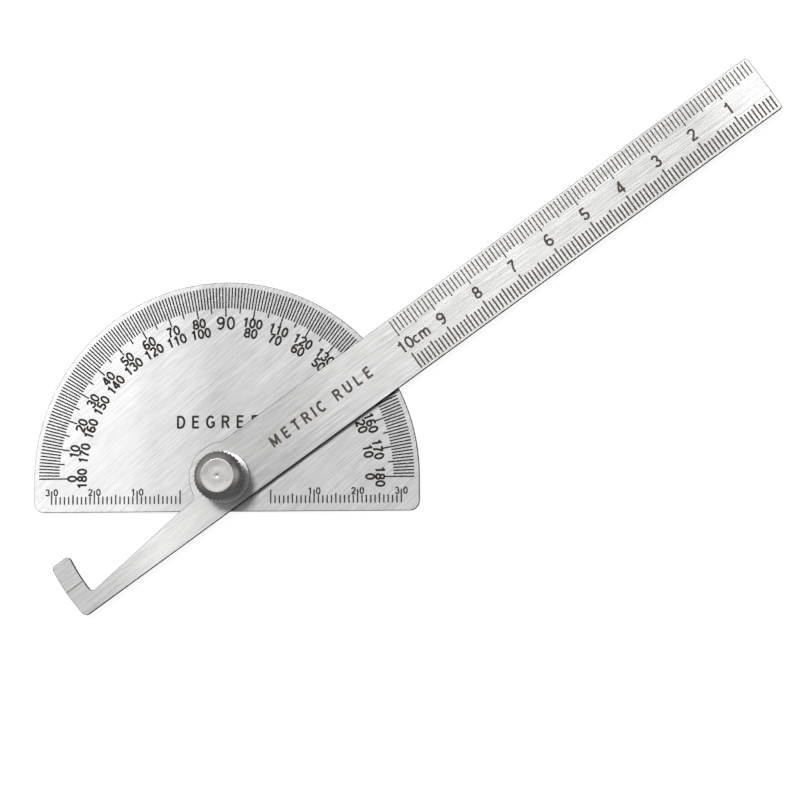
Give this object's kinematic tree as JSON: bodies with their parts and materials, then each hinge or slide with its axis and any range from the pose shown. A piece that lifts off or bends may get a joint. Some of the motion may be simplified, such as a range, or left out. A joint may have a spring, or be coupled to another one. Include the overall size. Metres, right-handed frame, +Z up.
{
  "type": "protractor",
  "caption": "Steel protractor: half-round degree plate with base scales, a swinging ruler arm with a curved pointer, and a knurled thumb nut on the pivot.",
  "frame": {"origin": "on the pivot axis, in the plane of the head's back", "axes": "+Z up along the pivot towards the thumb nut, X along the head's base edge, +Y towards the 90 degree mark"},
  "size_m": [0.1714, 0.1242, 0.0108],
  "materials": {
    "head_plate": "satin, brushed on the diagonal, with dark etched marks",
    "arm_plate": "satin, brushed along the arm, with dark etched marks",
    "stud_steel": "turned",
    "washer_zinc": "zinc plated",
    "nut_steel": "turned, knurled, bright nickel"
  },
  "bodies": {
    "head": {"protractor_head": "head_plate", "pivot_stud": "stud_steel"},
    "arm": {"ruler_arm": "arm_plate"},
    "washer": {"flat_washer": "washer_zinc"},
    "nut": {"knurled_nut": "nut_steel"}
  },
  "joints": [
    {"name": "arm_swing", "type": "hinge", "parent": "head", "child": "arm", "pos_m": [0, 0, 0.0017], "axis": [0, 0, 1], "continuous": true},
    {"name": "nut_turn", "type": "hinge", "parent": "head", "child": "washer", "pos_m": [0, 0, 0.003], "axis": [0, 0, 1], "range_deg": [0, 2520]},
    {"name": "nut_lift", "type": "slide", "parent": "washer", "child": "nut", "axis": [0, 0, 1], "range_m": [0, 0.0049]}
  ],
  "couplings": [
    {"joint": "nut_turn", "follows": "nut_lift", "rad_per_m": 8976}
  ]
}
